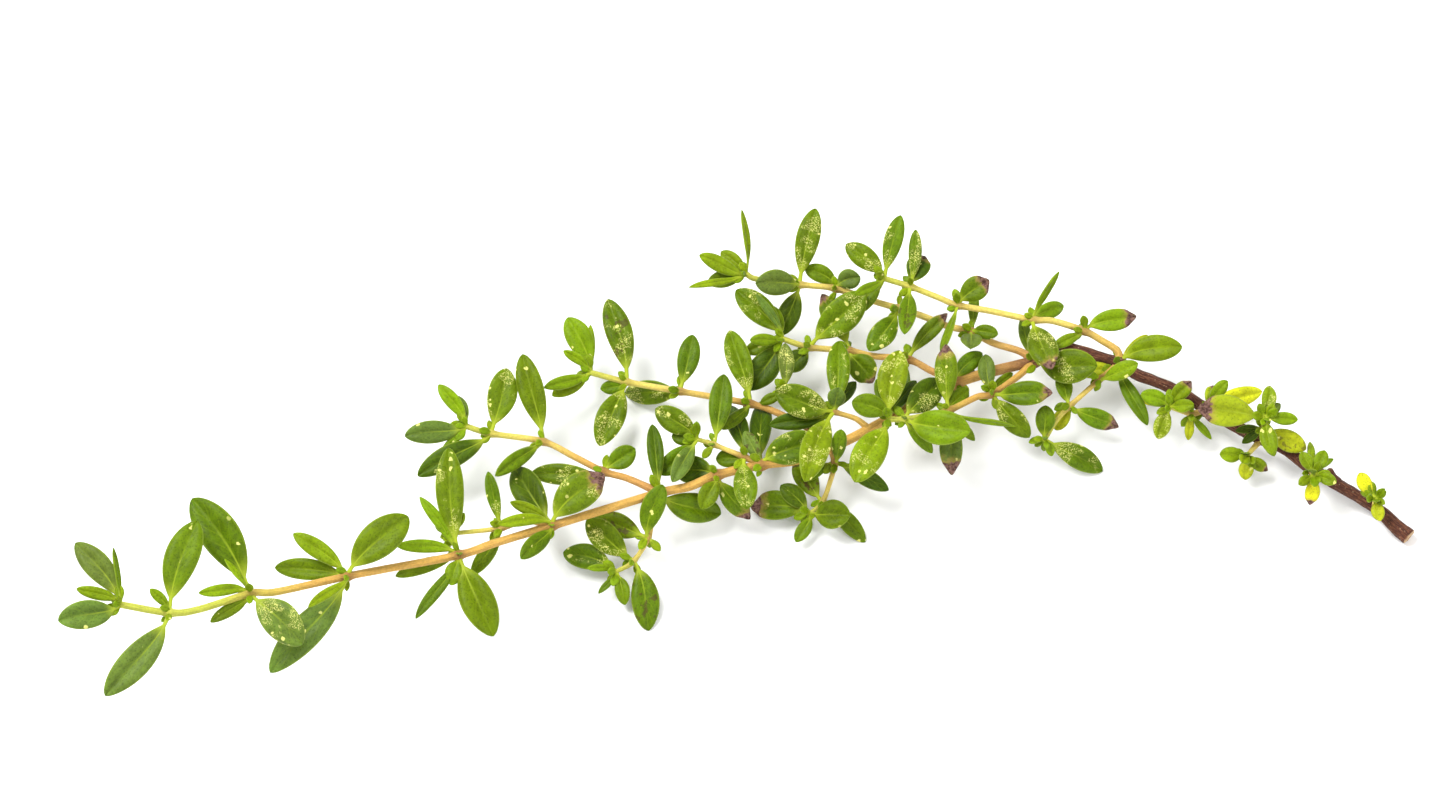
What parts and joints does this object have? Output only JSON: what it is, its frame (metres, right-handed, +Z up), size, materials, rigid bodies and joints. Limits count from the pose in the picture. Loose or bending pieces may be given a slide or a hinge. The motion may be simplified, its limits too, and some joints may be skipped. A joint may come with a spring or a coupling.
{
  "type": "cut thyme sprig",
  "caption": "Cut sprig of thyme lying on its side: woody main stem, green side branches and small oval leaves, for dressing food or a kitchen scene.",
  "frame": {"origin": "under the middle of the sprig's bounding box, on the surface it lies on", "axes": "+X towards the cut end of the main stem, +Y across the sprig towards the upper branch, +Z up"},
  "size_m": [0.1656, 0.072, 0.0269],
  "materials": {
    "woody_stem": "dark brown fissured bark at the cut end, turning tan and then yellow-green towards the tip",
    "green_stem": "fresh stem, satin, yellow-green to orange-tan, finely downy",
    "leaf": "fresh leaf, satin, pitted with oil glands, pale speckles, brown dried tips on some",
    "young_leaf": "young leaf, satin, light green",
    "yellow_leaf": "old leaf turning yellow, satin"
  },
  "bodies": {
    "root": {"main_stem": "woody_stem", "upper_branch": "green_stem", "middle_branch": "green_stem", "inner_branch": "green_stem", "front_branch": "green_stem", "left_branch": "green_stem", "far_left_branch": "green_stem", "main_tip_leaves": "young_leaf", "main_leaves_01": "leaf", "main_leaves_02": "leaf", "main_leaves_03": "leaf", "main_leaves_04": "leaf", "main_leaves_05": "leaf", "main_leaves_06": "leaf", "main_leaves_07": "leaf", "main_leaves_08": "leaf", "main_leaves_09": "leaf", "main_leaves_10": "leaf", "main_leaves_11": "yellow_leaf", "main_leaves_12": "yellow_leaf", "upper_leaves_1": "leaf", "upper_leaves_2": "leaf", "upper_leaves_3": "leaf", "upper_leaves_4": "leaf", "upper_tip_leaves": "young_leaf", "middle_leaves_1": "leaf", "middle_leaves_2": "leaf", "middle_leaves_3": "leaf", "middle_leaves_4": "leaf", "middle_tip_leaves": "young_leaf", "inner_leaves_1": "leaf", "inner_leaves_2": "leaf", "inner_leaves_3": "leaf", "inner_tip_leaves": "young_leaf", "front_leaves_1": "leaf", "front_leaves_2": "leaf", "front_leaves_3": "leaf", "front_tip_leaves": "young_leaf", "left_leaves_1": "leaf", "left_leaves_2": "leaf", "left_leaves_3": "leaf", "left_tip_leaves": "young_leaf", "far_left_leaves_1": "leaf", "far_left_leaves_2": "leaf", "far_left_leaves_3": "leaf", "far_left_tip_leaves": "young_leaf", "crossing_shoot": "leaf", "centre_shoot": "leaf", "hanging_shoot": "leaf", "low_shoot": "leaf", "twin_shoot": "leaf", "right_shoot": "leaf", "base_side_shoot": "yellow_leaf", "base_upright_shoot": "yellow_leaf", "base_low_shoot": "yellow_leaf", "base_front_shoot": "yellow_leaf", "base_end_shoot": "yellow_leaf"}
  },
  "joints": []
}
